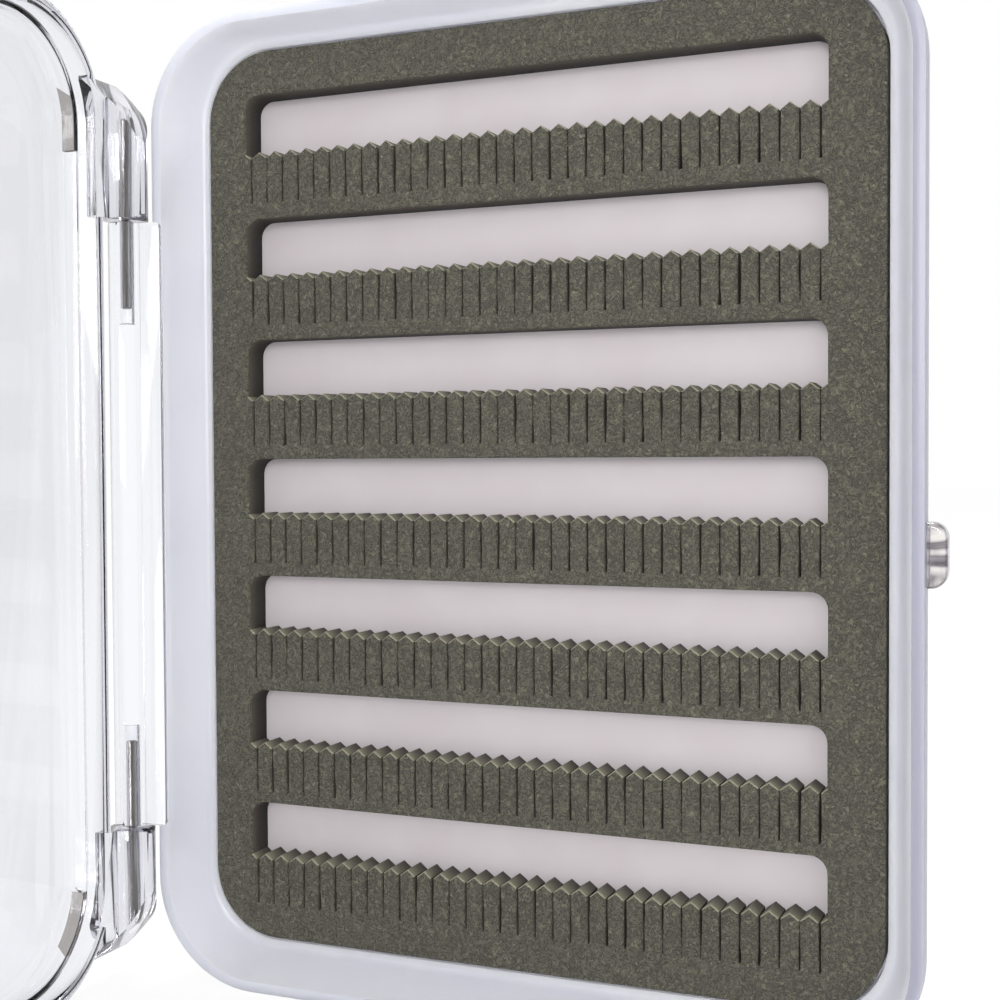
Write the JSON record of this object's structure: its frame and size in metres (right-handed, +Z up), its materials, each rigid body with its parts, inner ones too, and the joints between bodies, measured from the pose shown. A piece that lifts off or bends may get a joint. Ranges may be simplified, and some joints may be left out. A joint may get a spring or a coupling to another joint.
{
  "type": "fly box",
  "caption": "Flat hinged fly-fishing box: frosted base tray with a slit foam sheet, clear lid on two pins and a swinging latch.",
  "frame": {"origin": "middle of the base tray's foot: mid width, mid depth of the base, on the lower end face it stands on", "axes": "+Z up along the hinge, +X across the base from the hinge to the catch, +Y out of the back of the base"},
  "size_m": [0.1118, 0.1279, 0.127],
  "materials": {
    "frosted_plastic": "frosted moulded polycarbonate",
    "foam": "fine closed-cell EVA foam, die-cut",
    "backing": "thin smooth EVA sheet",
    "clear_plastic": "clear polished polycarbonate",
    "pin_steel": "drawn stainless wire"
  },
  "bodies": {
    "base": {"base_tray": "frosted_plastic", "foam_insert": "foam", "backing_sheet": "backing"},
    "lid": {"lid_shell": "clear_plastic", "hinge_pin_upper": "pin_steel", "hinge_pin_lower": "pin_steel", "latch_pin": "pin_steel"},
    "latch": {"latch": "clear_plastic"}
  },
  "joints": [
    {"name": "lid_hinge", "type": "hinge", "parent": "base", "child": "lid", "pos_m": [-0.0538, -0.0017, 0.06073], "axis": [0, 0, -1], "range_deg": [-90, 90]},
    {"name": "latch_pivot", "type": "hinge", "parent": "lid", "child": "latch", "pos_m": [-0.0565, -0.1074, 0.0587], "axis": [0, 0, -1], "range_deg": [-75, 45]}
  ]
}
